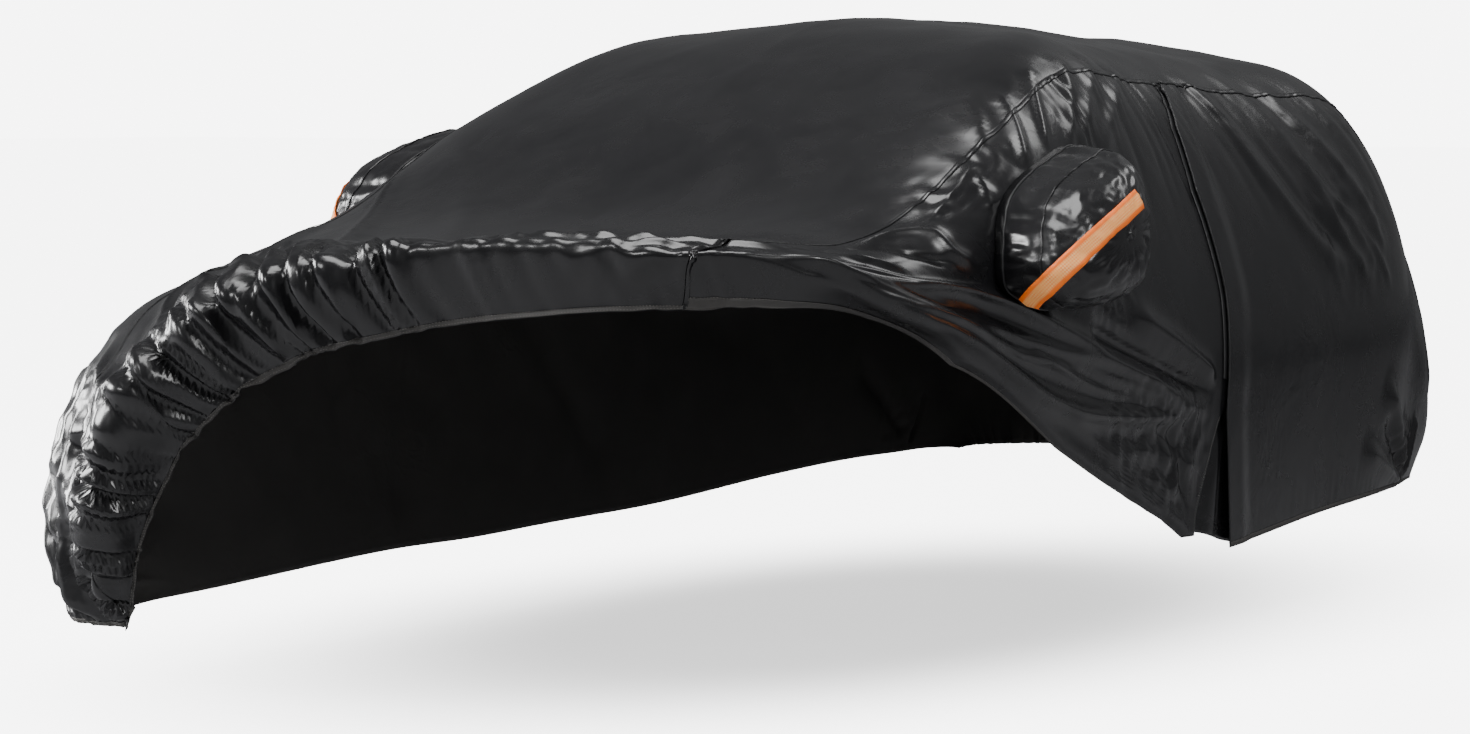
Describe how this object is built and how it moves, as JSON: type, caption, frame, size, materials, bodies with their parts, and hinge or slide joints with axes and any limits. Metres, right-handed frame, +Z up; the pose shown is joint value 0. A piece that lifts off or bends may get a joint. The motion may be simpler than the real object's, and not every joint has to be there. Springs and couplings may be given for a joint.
{
  "type": "fitted car cover",
  "caption": "Fitted hatchback cover in coated cloth, drawn back over the bonnet, with mirror pockets and a door slit.",
  "frame": {"origin": "just under the middle of the roof cloth, where the car's roof holds the cover up", "axes": "+Z up, +Y towards the tail of the covered car, +X towards its left side"},
  "size_m": [2.4467, 4.399, 1.4768],
  "materials": {
    "coated_cloth": "charcoal polyester with a smooth glossy coating, finely creased",
    "pocket_cloth": "the same coated polyester, sewn into a bag",
    "reflective_strip": "orange edged woven strip with a bright checked retroreflective centre"
  },
  "bodies": {
    "root": {"top_panel": "coated_cloth", "side_panel_right": "coated_cloth", "side_panel_left_front": "coated_cloth", "side_panel_left_rear": "coated_cloth", "mirror_pocket_left": "pocket_cloth", "mirror_pocket_right": "pocket_cloth", "reflective_strip_left": "reflective_strip", "reflective_strip_right": "reflective_strip"}
  },
  "joints": []
}
